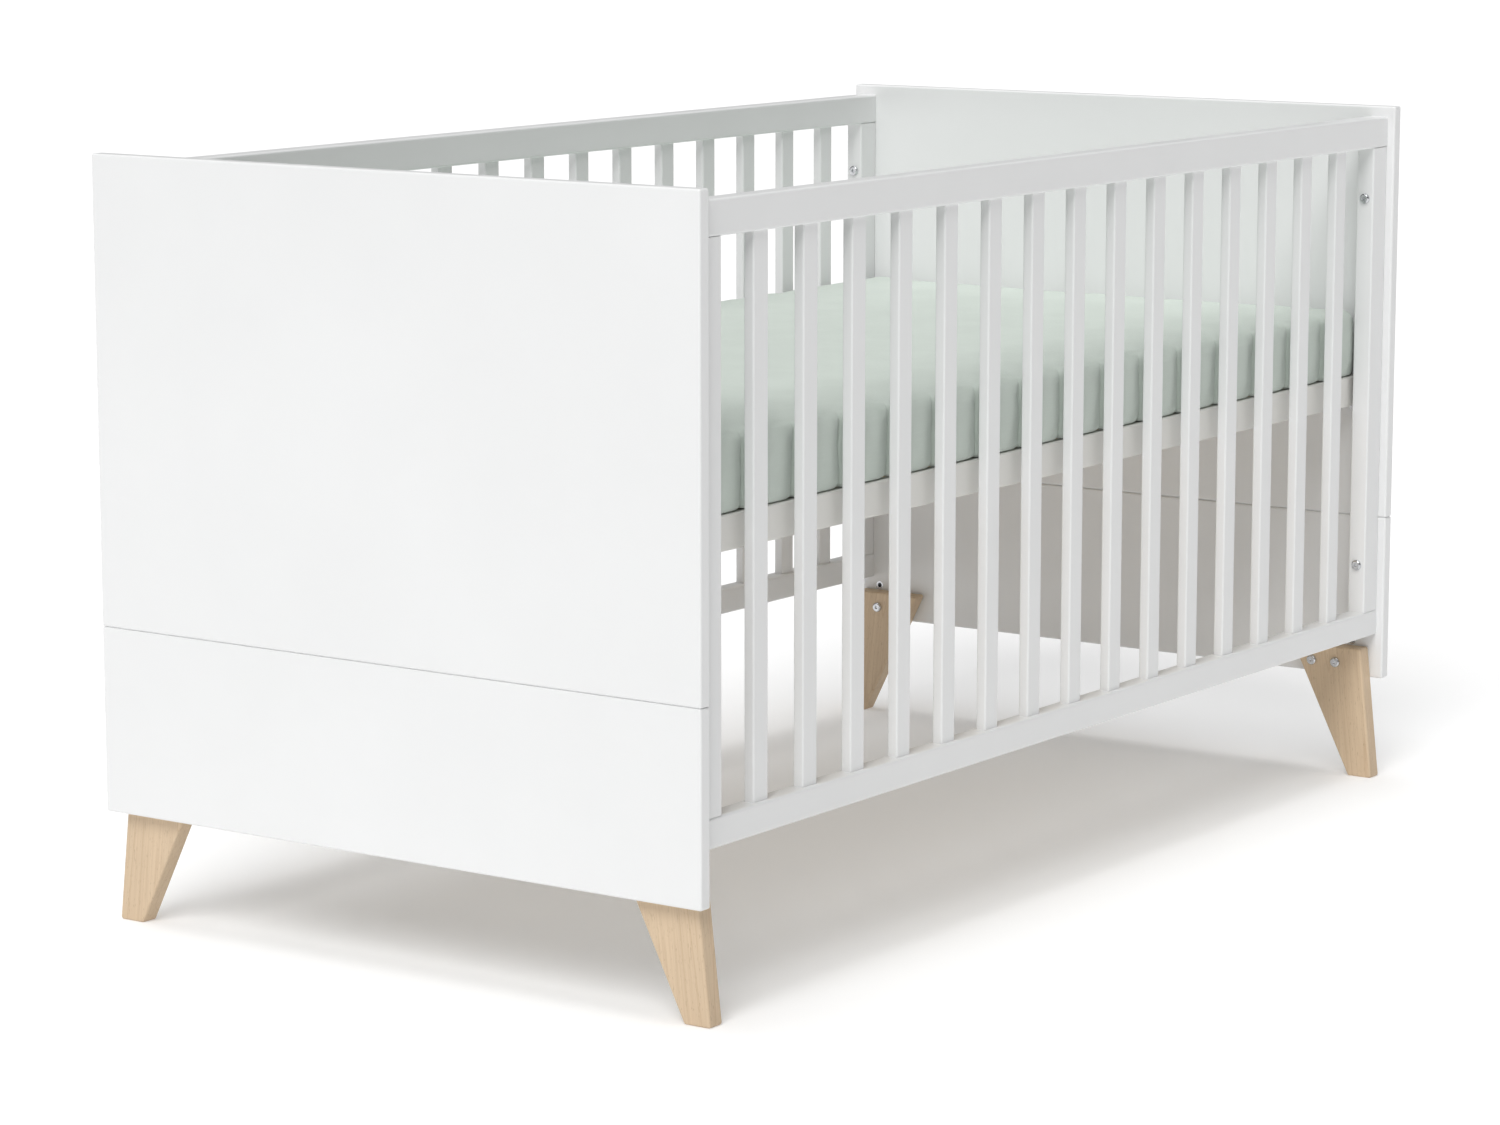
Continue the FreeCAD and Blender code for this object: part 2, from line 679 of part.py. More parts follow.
def build():
    """Every piece of the crib, in the order in which it goes together."""
    pieces = []
    for end, x_side in ENDS:
        pieces += end_panel(end, x_side)
    for side, y_side in SIDES:
        pieces += [leg(f"{side}_{end}_leg", x_side, y_side) for end, x_side in ENDS]
        pieces += slatted_side(side, y_side)
    pieces += [base_long_rail("base_front_rail", False), base_long_rail("base_back_rail", True)]
    pieces += [base_end_rail(f"base_{end}_rail", x_side) for end, x_side in ENDS]
    slats = [slat(number) for number in range(DIMENSIONS["slat_count"])]
    pieces += [group("base_slats", slats)]
    pieces += mattress()
    pieces += [wood_dowels(), threaded_inserts(), side_bolts(), leg_bolts(), support_pins(),
               slat_screws(), frame_screws()]
    return pieces


def save(pieces):
    """Check every object and write each piece to its own file."""
    doc.recompute()
    for obj in doc.Objects:
        if "Invalid" in obj.State or "Error" in obj.State:
            raise ValueError(f"{obj.Name} failed: {obj.State}")
    os.makedirs("parts", exist_ok=True)
    for piece in pieces:
        if piece.Shape.isNull() or not piece.Shape.isValid():
            raise ValueError(f"{piece.Label} has no valid shape")
        piece.Shape.exportStep(os.path.join("parts", f"{piece.Label}.step"))
    print(f"{len(pieces)} pieces written")


save(build())
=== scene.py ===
"""A baby crib with slatted sides, solid ends, beech legs and a mattress in a fitted jersey sheet.

The finishes of the timber and the fittings, the mattress and its sheet, and a small studio.
Lengths are in metres. The crib's long axis is X, its front side faces -Y and its foot end -X.
"""
import math
import random

import bmesh
import bpy
from bpy.props import FloatProperty, FloatVectorProperty, IntProperty, PointerProperty
from bpy.types import Operator, Panel, PropertyGroup
from mathutils import Matrix, Vector, noise


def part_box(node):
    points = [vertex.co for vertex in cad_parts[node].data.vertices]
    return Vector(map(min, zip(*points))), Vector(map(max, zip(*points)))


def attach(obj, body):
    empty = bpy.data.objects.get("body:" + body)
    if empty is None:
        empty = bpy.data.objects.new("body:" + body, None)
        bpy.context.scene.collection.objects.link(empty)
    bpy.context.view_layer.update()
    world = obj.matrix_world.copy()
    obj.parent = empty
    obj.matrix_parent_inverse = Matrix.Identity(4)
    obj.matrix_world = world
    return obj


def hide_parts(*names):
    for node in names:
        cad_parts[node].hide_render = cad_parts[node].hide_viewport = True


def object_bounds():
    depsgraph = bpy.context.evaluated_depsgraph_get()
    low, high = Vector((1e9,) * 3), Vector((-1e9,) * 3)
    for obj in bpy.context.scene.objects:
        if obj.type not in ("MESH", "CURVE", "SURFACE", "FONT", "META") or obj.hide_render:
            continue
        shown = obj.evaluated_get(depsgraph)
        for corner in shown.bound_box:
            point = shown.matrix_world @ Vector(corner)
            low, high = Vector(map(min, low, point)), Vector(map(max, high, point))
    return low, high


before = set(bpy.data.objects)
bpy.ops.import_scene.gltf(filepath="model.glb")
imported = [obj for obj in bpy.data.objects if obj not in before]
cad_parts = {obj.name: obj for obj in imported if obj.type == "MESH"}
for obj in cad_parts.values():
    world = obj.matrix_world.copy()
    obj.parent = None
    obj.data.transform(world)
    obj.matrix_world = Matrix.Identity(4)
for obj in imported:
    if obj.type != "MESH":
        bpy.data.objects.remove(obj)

bl_info = {
    "name": "Slatted Crib",
    "version": (1, 0, 0),
    "blender": (4, 5, 0),
    "location": "3D View > Sidebar > Crib",
    "description": "Finishes, mattress, fitted sheet and studio for a slatted baby crib",
    "category": "Object",
}

CAD_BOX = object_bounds()
CORE_LOW, CORE_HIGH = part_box("mattress_core")
SHEET_LOW, SHEET_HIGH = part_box("fitted_sheet")
BARS = sorted(sum(end.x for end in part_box(node)) / 2
              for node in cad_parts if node.startswith("front_bar_"))
BAR_PITCH = BARS[1] - BARS[0]

# Radii of the bedding's upright corners, of its top rim and of the sheet's lower rim.
UPRIGHT_ROUND, TOP_ROUND, FOOT_ROUND = 0.026, 0.015, 0.007
ROUND_SEGMENTS = 4
# How stiff and heavy the cloth of the bedding is.
CLOTH = {"quality": 6, "mass": 0.2, "tension_stiffness": 25.0,
         "compression_stiffness": 25.0, "shear_stiffness": 12.0, "bending_stiffness": 0.4,
         "air_damping": 4.0, "use_pressure": True}
# Columns of the sheet's mesh around each crease, in bar pitches.
CREASE_STEPS = (-0.31, -0.20, -0.11, -0.055, -0.03, -0.012, 0.0,
                0.012, 0.03, 0.055, 0.11, 0.20, 0.31, 0.41)
NOISE_RANGE = (0.3, 0.7)  # where most of a noise texture's values lie
CAMERA_TARGET = Vector((-0.096, -0.0073, 0.3374))
SENSOR_WIDTH = 36.0
WINDOW_PLACE, TOP_PLACE = Vector((-2.0, -0.65, 2.18)), Vector((0.0, 0.4, 3.4))


# ------------------------------------------------------------------------------------- settings

class CribTimberSettings(PropertyGroup):
    """Colours and grain of the lacquered, oiled and bare timber."""
    lacquer: FloatVectorProperty(
        name="Lacquer", description="White of the ends and the slatted sides",
        subtype="COLOR", size=3, min=0.0, max=1.0, default=(0.80, 0.805, 0.805))
    base_paint: FloatVectorProperty(
        name="Base paint", description="Creamy white of the mattress base",
        subtype="COLOR", size=3, min=0.0, max=1.0, default=(0.78, 0.77, 0.735))
    beech_light: FloatVectorProperty(
        name="Beech, light", description="Early wood of the legs",
        subtype="COLOR", size=3, min=0.0, max=1.0, default=(0.69, 0.535, 0.37))
    beech_dark: FloatVectorProperty(
        name="Beech, dark", description="Late wood of the legs",
        subtype="COLOR", size=3, min=0.0, max=1.0, default=(0.53, 0.375, 0.235))
    birch_light: FloatVectorProperty(
        name="Birch, light", description="Early wood of the slats and dowels",
        subtype="COLOR", size=3, min=0.0, max=1.0, default=(0.74, 0.60, 0.42))
    birch_dark: FloatVectorProperty(
        name="Birch, dark", description="Late wood of the slats and dowels",
        subtype="COLOR", size=3, min=0.0, max=1.0, default=(0.60, 0.45, 0.28))
    orange_peel: FloatProperty(
        name="Orange peel", description="Height of the sprayed lacquer's fine ripple",
        subtype="DISTANCE", unit="LENGTH", min=0.0, max=0.001, default=0.00006)


class CribBeddingSettings(PropertyGroup):
    """Sizes and colours of the mattress and its fitted sheet."""
    sheet_colour: FloatVectorProperty(
        name="Sheet", description="Sage green of the jersey sheet",
        subtype="COLOR", size=3, min=0.0, max=1.0, default=(0.625, 0.69, 0.633))
    cover_colour: FloatVectorProperty(
        name="Mattress cover", description="Knitted cover of the foam core",
        subtype="COLOR", size=3, min=0.0, max=1.0, default=(0.84, 0.84, 0.81))
    bulge: FloatProperty(
        name="Bulge", description="How far the sheet stands out between the bars",
        subtype="DISTANCE", unit="LENGTH", min=0.0, max=0.004, default=0.003)
    crease: FloatProperty(
        name="Crease", description="How far the sheet draws in behind each bar",
        subtype="DISTANCE", unit="LENGTH", min=0.0, max=0.008, default=0.0045)
    hem: FloatProperty(
        name="Hem", description="How far the sheet reaches under the mattress",
        subtype="DISTANCE", unit="LENGTH", min=0.03, max=0.12, default=0.07)
    elastic_width: FloatProperty(
        name="Elastic", description="Width of the gathered elastic at the sheet's edge",
        subtype="DISTANCE", unit="LENGTH", min=0.004, max=0.02, default=0.009)
    settle_frames: IntProperty(
        name="Settling steps", description="Steps of cloth simulation for each soft piece",
        min=1, max=60, default=20)


class CribStudioSettings(PropertyGroup):
    """The camera's stand and the light."""
    azimuth: FloatProperty(
        name="Azimuth", description="Camera's turn about the crib, from the front towards the head",
        subtype="ANGLE", unit="ROTATION", default=math.radians(-55.122))
    elevation: FloatProperty(
        name="Elevation", description="Camera's height above the crib as an angle",
        subtype="ANGLE", unit="ROTATION", default=math.radians(9.547))
    distance: FloatProperty(
        name="Distance", description="Camera to the point that it looks at",
        subtype="DISTANCE", unit="LENGTH", min=0.5, default=4.99)
    lens: FloatProperty(
        name="Lens", description="Focal length in millimetres on a 36 mm sensor",
        min=10.0, max=300.0, default=107.876)
    daylight: FloatProperty(
        name="Room light", description="Strength of the light from all round",
        min=0.0, max=5.0, default=0.20)
    window_light: FloatProperty(
        name="Window light",
        description="Strength of the soft light over the foot end's front corner",
        min=0.0, max=20.0, default=2.05)
    top_light: FloatProperty(
        name="Top light", description="Strength of the broad soft light from above",
        min=0.0, max=20.0, default=1.30)
    floor_glow: FloatProperty(
        name="Floor glow",
        description="Light that the floor itself gives, which softens the shadows",
        min=0.0, max=1.0, default=0.30)
    softness: FloatProperty(
        name="Softness", description="Angle that each soft light fills, seen from the crib",
        subtype="ANGLE", unit="ROTATION", default=math.radians(35.0))
    floor_size: FloatProperty(
        name="Floor", description="Side of the square floor",
        subtype="DISTANCE", unit="LENGTH", min=4.0, default=160.0)


# -------------------------------------------------------------------------------- finish helpers

class Finish:
    """A new procedural material; each call adds one node and returns it."""

    def __init__(self, name):
        self.material = bpy.data.materials.new(name)
        self.material.use_nodes = True
        self.tree = self.material.node_tree
        self.shader = self.tree.nodes["Principled BSDF"]
        self.coordinates = self.add("TexCoord")

    def feed(self, socket, value):
        """Link a socket to another one, or set its value."""
        if isinstance(value, bpy.types.NodeSocket):
            self.tree.links.new(value, socket)
        else:
            socket.default_value = value

    def add(self, kind, inputs=None, **settings):
        """One node, with its settings and its inputs by name or number."""
        node = self.tree.nodes.new("ShaderNode" + kind)
        for name, value in settings.items():
            setattr(node, name, value)
        for socket, value in (inputs or {}).items():
            self.feed(node.inputs[socket], value)
        return node

    def set(self, **values):
        """Inputs of the shader itself, with underscores for the spaces in their names."""
        for name, value in values.items():
            self.feed(self.shader.inputs[name.replace("_", " ")], value)

    def stretched(self, vector, scale):
        """Coordinates stretched by a scale on each axis."""
        return self.add("Mapping", {"Vector": vector, "Scale": scale}).outputs["Vector"]

    def speckle(self, vector, scale, detail=3.0, roughness=0.5, distortion=0.0):
        """A noise texture's value."""
        return self.add("TexNoise", {"Vector": vector, "Scale": scale, "Detail": detail,
                                     "Roughness": roughness, "Distortion": distortion}).outputs[0]

    def span(self, value, low, high, to_low=0.0, to_high=1.0):
        """A value between low and high, moved to between to_low and to_high."""
        return self.add("MapRange", {"Value": value, "From Min": low, "From Max": high,
                                     "To Min": to_low, "To Max": to_high}).outputs[0]

    def math(self, operation, first, second=0.0):
        """One sum on two values."""
        return self.add("Math", {0: first, 1: second}, operation=operation).outputs[0]

    def blend(self, share, first, second):
        """A colour between two colours, or a mix of linked ones."""
        node = self.add("Mix", {"Factor": share}, data_type="RGBA")
        self.feed(node.inputs[6], opaque(first))
        self.feed(node.inputs[7], opaque(second))
        return node.outputs[2]

    def edge_mask(self, radius):
        """1 along the worn arrises of a piece and 0 on its flats."""
        flat_cosine, arris_cosine = 0.985, 0.90
        soft = self.add("Bevel", {"Radius": radius}, samples=4)
        plain = self.add("NewGeometry")
        dot = self.add("VectorMath", {0: soft.outputs["Normal"], 1: plain.outputs["Normal"]},
                       operation="DOT_PRODUCT")
        return self.span(dot.outputs["Value"], flat_cosine, arris_cosine)

    def bumps(self, *layers):
        """Bump nodes in a row, each from a height and its depth in metres; the last one shades."""
        normal = None
        for height, depth in layers:
            node = self.add("Bump", {"Height": height, "Distance": depth, "Strength": 1.0})
            if normal is not None:
                self.feed(node.inputs["Normal"], normal)
            normal = node.outputs["Normal"]
        self.feed(self.shader.inputs["Normal"], normal)


def opaque(colour):
    """A colour with its alpha, or a socket as it is."""
    if isinstance(colour, bpy.types.NodeSocket):
        return colour
    return (*tuple(colour)[:3], 1.0)


def shade(colour, factor):
    """A colour made lighter or darker."""
    return tuple(min(1.0, channel * factor) for channel in tuple(colour)[:3])


def along(axis, length, across):
    """Mapping scales that stretch a pattern along one axis."""
    return tuple(length if name == axis else across for name in "xyz")


def lacquer(name, colour, grain_axis, peel):
    """Sprayed white lacquer; on timber the grain below still shows a little."""
    cloud_scale, grit_scale, gloss_scale, ripple_scale, sag_scale = 5.0, 240.0, 26.0, 620.0, 9.0
    grain_scales, arris, sag_depth = (4.0, 260.0), 0.0012, 0.0004
    finish = Finish(name)
    place = finish.coordinates.outputs["Object"]
    cloud = finish.speckle(place, cloud_scale, 4.0)
    body = finish.blend(finish.span(cloud, *NOISE_RANGE), shade(colour, 0.985), shade(colour, 1.01))
    grit = finish.speckle(place, grit_scale, 2.0)
    worn = finish.math("MULTIPLY", finish.edge_mask(arris),
                       finish.span(grit, 0.45, 0.75, 0.15, 0.75))
    body = finish.blend(worn, body, (colour[0] * 0.95, colour[1] * 0.935, colour[2] * 0.90))
    gloss = finish.speckle(place, gloss_scale, 5.0)
    ripple = (finish.speckle(place, ripple_scale, 2.0), peel)
    if grain_axis:
        fibres = finish.stretched(place, along(grain_axis, *grain_scales))
        grain = finish.speckle(fibres, 1.0, 5.0, 0.6)
        body = finish.blend(finish.span(grain, 0.55, 0.85, 0.0, 0.22), body, shade(colour, 0.955))
        broad = (grain, peel * 1.8)
    else:
        broad = (finish.speckle(place, sag_scale, 2.0), sag_depth)
    finish.set(Base_Color=body, Roughness=finish.span(gloss, *NOISE_RANGE, 0.30, 0.42),
               Coat_Weight=0.12, Coat_Roughness=0.22, IOR=1.47)
    finish.bumps(broad, ripple)
    return finish.material


def open_grain(name, light, dark, axis, spread=0.0, roughness=(0.46, 0.62), ring_scale=9.0):
    """Bare or oiled hardwood: soft growth bands, thin late wood lines and short rays.

    Spread leans the grain outwards with height, to follow a splayed leg.
    """
    arris, fibre_depth, ray_depth = 0.0015, 0.00012, 0.00006
    finish = Finish(name)
    place = finish.coordinates.outputs["Object"]
    if spread:
        apart = finish.add("SeparateXYZ", {"Vector": place})
        out = finish.math("ABSOLUTE", apart.outputs["Y"])
        lean = finish.math("MULTIPLY", apart.outputs["Z"], spread)
        place = finish.add("CombineXYZ", {
            "X": apart.outputs["X"], "Y": finish.math("ADD", out, lean),
            "Z": apart.outputs["Z"]}).outputs[0]

    def run(length, across):
        return finish.stretched(place, along(axis, length, across))

    broad = finish.speckle(run(1.6, 26.0), 1.0, 3.0, 0.5, 0.6)
    colour = finish.blend(finish.span(broad, 0.32, 0.68), light, shade(light, 0.90))
    rings = finish.speckle(run(1.1, 17.0), 1.0, 1.0, 0.4, 0.9)
    waves = finish.math("PINGPONG", finish.math("MULTIPLY", rings, ring_scale), 0.5)
    line = finish.span(waves, 0.055, 0.0)
    colour = finish.blend(finish.math("MULTIPLY", line, 0.6), colour, dark)
    fine = finish.speckle(run(9.0, 520.0), 1.0, 4.0, 0.65)
    colour = finish.blend(finish.span(fine, 0.42, 0.75, 0.0, 0.65), colour, dark)
    flecks = finish.span(finish.speckle(run(160.0, 900.0), 1.0, 1.0), 0.66, 0.72)
    colour = finish.blend(finish.math("MULTIPLY", flecks, 0.55), colour, shade(dark, 0.8))
    edge = finish.math("MULTIPLY", finish.edge_mask(arris), 0.35)
    colour = finish.blend(edge, colour, shade(light, 1.12))
    finish.set(Base_Color=colour, Roughness=finish.span(broad, *NOISE_RANGE, *roughness),
               IOR=1.45, Coat_Weight=0.05, Coat_Roughness=0.45)
    finish.bumps((fine, fibre_depth), (flecks, ray_depth))
    return finish.material


def zinc(name):
    """Bright zinc plate: a cool, slightly cloudy metal with fine handling marks."""
    dull, bright = (0.54, 0.55, 0.57), (0.70, 0.71, 0.73)
    cloud_scale, mark_scales, mark_depth = 190.0, (900.0, 900.0, 160.0), 0.00003
    finish = Finish(name)
    place = finish.coordinates.outputs["Object"]
    cloud = finish.speckle(place, cloud_scale, 4.0)
    marks = finish.speckle(finish.stretched(place, mark_scales), 1.0, 3.0, 0.7)
    finish.set(Base_Color=finish.blend(finish.span(cloud, 0.35, 0.65), dull, bright), Metallic=1.0,
               Roughness=finish.span(marks, *NOISE_RANGE, 0.14, 0.30))
    finish.bumps((marks, mark_depth))
    return finish.material


def knit(name, colour, source, rib, sheen):
    """Jersey or knitted cover: ribs of loops in two directions, slubs and a soft nap."""
    wave_length, course_share = 0.314, 0.8
    cloud_scale, slub_scales, fuzz_scale = 14.0, (30.0, 420.0, 1.0), 1500.0
    cloud_depth, loop_depth, slub_depth = 0.0006, 0.00018, 0.0001
    finish = Finish(name)
    flat = finish.coordinates.outputs[source]

    def ribs(width, direction):
        return finish.add("TexWave", {
            "Vector": flat, "Scale": wave_length / width, "Distortion": 0.6, "Detail": 1.0,
            "Detail Scale": 40.0}, bands_direction=direction).outputs["Fac"]

    loops = finish.math("MULTIPLY", ribs(rib, "X"), ribs(rib * course_share, "Y"))
    cloud = finish.speckle(flat, cloud_scale, 5.0, 0.6)
    slub = finish.speckle(finish.stretched(flat, slub_scales), 1.0, 4.0, 0.65)
    body = finish.blend(finish.span(cloud, *NOISE_RANGE), shade(colour, 0.95), shade(colour, 1.03))
    body = finish.blend(finish.span(slub, 0.5, 0.8, 0.0, 0.35), body, shade(colour, 1.10))
    body = finish.blend(finish.span(loops, 0.5, 0.0, 0.0, 0.30), body, shade(colour, 0.80))
    fuzz = finish.speckle(flat, fuzz_scale, 2.0)
    finish.set(Base_Color=body, Roughness=finish.span(fuzz, *NOISE_RANGE, 0.82, 0.98),
               Specular_IOR_Level=0.25, Sheen_Weight=sheen, Sheen_Roughness=0.45)
    finish.bumps((cloud, cloud_depth), (loops, loop_depth), (slub, slub_depth))
    return finish.material


def lit_panel(name, colour, glow):
    """The pale floor: a matt panel with a faint tooth and a little light of its own."""
    tooth_scale = 60.0
    finish = Finish(name)
    tooth = finish.speckle(finish.coordinates.outputs["Object"], tooth_scale, 3.0)
    body = finish.blend(finish.span(tooth, *NOISE_RANGE), shade(colour, 0.995), colour)
    finish.set(Base_Color=body, Roughness=0.9, Specular_IOR_Level=0.1,
               Emission_Color=body, Emission_Strength=glow)
    return finish.material


def coat(nodes, material):
    """Give CAD nodes one finish."""
    for node in nodes:
        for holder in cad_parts[node].material_slots:
            holder.material = material


def named(*parts):
    """CAD nodes whose names hold every one of these words."""
    found = sorted(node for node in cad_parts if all(part in node for part in parts))
    if not found:
        raise RuntimeError(f"no CAD node is named with {parts}")
    return found


# --------------------------------------------------------------------------------- soft helpers

def new_piece(name, shape, material):
    """An object at the origin from a bmesh, with one material, smooth."""
    mesh = bpy.data.meshes.new(name)
    shape.to_mesh(mesh)
    shape.free()
    mesh.materials.append(material)
    mesh.shade_smooth()
    piece = bpy.data.objects.new(name, mesh)
    bpy.context.scene.collection.objects.link(piece)
    return piece


def rounded_block(low, high, upright_radius, top_radius, foot_radius):
    """A block between two corners, with its upright edges and then its top and foot rounded."""
    shape = bmesh.new()
    size, middle = high - low, (high + low) / 2
    bmesh.ops.create_cube(shape, size=1.0, matrix=Matrix.Translation(middle) @ Matrix.Diagonal(
        (*size, 1.0)))
    upright = [edge for edge in shape.edges
               if abs(edge.verts[0].co.z - edge.verts[1].co.z) > size.z / 2]
    bmesh.ops.bevel(shape, geom=upright, offset=upright_radius, affect="EDGES",
                    segments=ROUND_SEGMENTS, profile=0.5, material=-1)
    level = 0.99
    for radius, side in ((top_radius, 1.0), (foot_radius, -1.0)):
        rim = [edge for edge in shape.edges
               if {face.normal.z * side > level for face in edge.link_faces} == {True, False}]
        bmesh.ops.bevel(shape, geom=rim, offset=radius, affect="EDGES",
                        segments=ROUND_SEGMENTS, profile=0.5, material=-1)
    return shape


def cut_across(shape, axis, places):
    """Cut every face at each place along an axis."""
    normal = Vector(tuple(1.0 if name == axis else 0.0 for name in "xyz"))
    for place in places:
        bmesh.ops.bisect_plane(shape, geom=shape.verts[:] + shape.edges[:] + shape.faces[:],
                               plane_co=normal * place, plane_no=normal)


def settle(piece, frames, cap, pressure, pinned=None, slack=0.0):
    """Let a piece swell as cloth, move no point further than cap, and keep the result."""
    start = [vertex.co.copy() for vertex in piece.data.vertices]
    modifier = piece.modifiers.new("settle", "CLOTH")
    cloth = modifier.settings
    for setting, value in CLOTH.items():
        setattr(cloth, setting, value)
    cloth.uniform_pressure_force = pressure
    cloth.shrink_min = -slack
    cloth.effector_weights.gravity = 0.0
    modifier.collision_settings.use_collision = False
    if pinned is not None:
        group = piece.vertex_groups.new(name="pinned")
        for index, weight in enumerate(pinned):
            if weight > 0:
                group.add([index], weight, "REPLACE")
        cloth.vertex_group_mass = "pinned"
    modifier.point_cache.frame_start, modifier.point_cache.frame_end = 1, frames
    scene = bpy.context.scene
    for step in range(1, frames + 1):
        scene.frame_set(step)
    moved = piece.evaluated_get(bpy.context.evaluated_depsgraph_get()).data
    for vertex, first, last in zip(piece.data.vertices, start, moved.vertices):
        step = last.co - first
        if step.length > cap:
            step *= cap / step.length
        vertex.co = first + step
    piece.modifiers.remove(modifier)
    piece.vertex_groups.clear()
    scene.frame_set(1)


def subdivide_smooth(piece):
    """One level of subdivision, the same in the view and in the render."""
    modifier = piece.modifiers.new("smooth", "SUBSURF")
    modifier.levels = modifier.render_levels = 1


# ------------------------------------------------------------------------------------ operators

class CRIB_OT_end_boards(Operator):
    """Lacquer the four boards of the two solid ends"""
    bl_idname = "crib.end_boards"
    bl_label = "End boards"

    def execute(self, context):
        timber = context.scene.crib_timber
        coat(named("_board"), lacquer("board_lacquer", timber.lacquer, None, timber.orange_peel))
        return {"FINISHED"}


class CRIB_OT_slatted_sides(Operator):
    """Lacquer the rails, stiles and bars of the two slatted sides"""
    bl_idname = "crib.slatted_sides"
    bl_label = "Slatted sides"

    def execute(self, context):
        timber = context.scene.crib_timber
        rails = lacquer("rail_lacquer", timber.lacquer, "x", timber.orange_peel)
        coat(named("top_rail") + named("bottom_rail"), rails)
        uprights = lacquer("upright_lacquer", timber.lacquer, "z", timber.orange_peel)
        coat(named("_bar_") + named("_stile"), uprights)
        return {"FINISHED"}


class CRIB_OT_legs(Operator):
    """Oil the four splayed beech legs"""
    bl_idname = "crib.legs"
    bl_label = "Legs"

    def execute(self, context):
        timber = context.scene.crib_timber
        coat(named("_leg"), open_grain("oiled_beech", timber.beech_light, timber.beech_dark,
                                       "z", spread=0.11))
        return {"FINISHED"}


class CRIB_OT_mattress_base(Operator):
    """Paint the base's rails and finish its slats"""
    bl_idname = "crib.mattress_base"
    bl_label = "Mattress base"

    def execute(self, context):
        timber = context.scene.crib_timber
        coat(["base_front_rail", "base_back_rail"],
             lacquer("base_paint_long", timber.base_paint, "x", timber.orange_peel))
        coat(["base_foot_rail", "base_head_rail"],
             lacquer("base_paint_short", timber.base_paint, "y", timber.orange_peel))
        coat(["base_slats"], open_grain("sanded_birch", timber.birch_light, timber.birch_dark, "y",
                                        roughness=(0.62, 0.8), ring_scale=6.0))
        return {"FINISHED"}


class CRIB_OT_fittings(Operator):
    """Finish the bolts, screws, pins, inserts and dowels"""
    bl_idname = "crib.fittings"
    bl_label = "Fittings"

    def execute(self, context):
        timber = context.scene.crib_timber
        coat(["side_bolts", "leg_bolts", "support_pins", "slat_screws", "base_frame_screws",
              "threaded_inserts"], zinc("zinc_plate"))
        coat(["wood_dowels"],
             open_grain("turned_birch", timber.birch_light, timber.birch_dark, "x"))
        return {"FINISHED"}


class CRIB_OT_mattress(Operator):
    """Make the foam mattress in its knitted cover"""
    bl_idname = "crib.mattress"
    bl_label = "Mattress"

    def execute(self, context):
        bedding = context.scene.crib_bedding
        draw_in, corner = Vector((0.004, 0.0085, 0.003)), 0.022
        swell, pressure = 0.0022, 4.0
        shape = rounded_block(CORE_LOW + draw_in, CORE_HIGH - draw_in, corner, TOP_ROUND, TOP_ROUND)
        piece = new_piece("foam_mattress", shape,
                          knit("knitted_cover", bedding.cover_colour, "Object", 0.0016, 0.1))
        remesh = piece.modifiers.new("even", "REMESH")
        remesh.mode, remesh.voxel_size = "VOXEL", 0.01
        even = bpy.data.meshes.new_from_object(
            piece.evaluated_get(context.evaluated_depsgraph_get()))
        piece.modifiers.clear()
        piece.data = even
        even.shade_smooth()
        settle(piece, bedding.settle_frames, swell, pressure)
        subdivide_smooth(piece)
        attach(piece, "mattress")
        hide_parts("mattress_core")
        return {"FINISHED"}


def crease_places():
    """Where the sheet is drawn in: just past each bar's middle, a little unevenly."""
    draw = random.Random(7)
    return [BARS[0] + (number + draw.uniform(0.01, 0.06)) * BAR_PITCH
            for number in range(-1, len(BARS) + 1)]


def flat_layout(shape, half, top):
    """The UV map of the flat cut: the top in the middle, the sides folded out, in metres."""
    layer = shape.loops.layers.uv.new("flat_cut")
    for face in shape.faces:
        normal = face.normal
        for loop in face.loops:
            place = loop.vert.co
            drop = top - place.z
            across, length = place.y, place.x
            if normal.z < -0.5:
                inward = Vector((half.x - abs(place.x), half.y - abs(place.y)))
                if inward.x < inward.y:
                    length = math.copysign(half.x + drop + inward.x, place.x)
                else:
                    across = math.copysign(half.y + drop + inward.y, place.y)
            elif abs(normal.y) > max(abs(normal.x), normal.z):
                across = math.copysign(half.y + drop, place.y)
            elif abs(normal.x) > normal.z:
                length = math.copysign(half.x + drop, place.x)
            loop[layer].uv = (length, across)


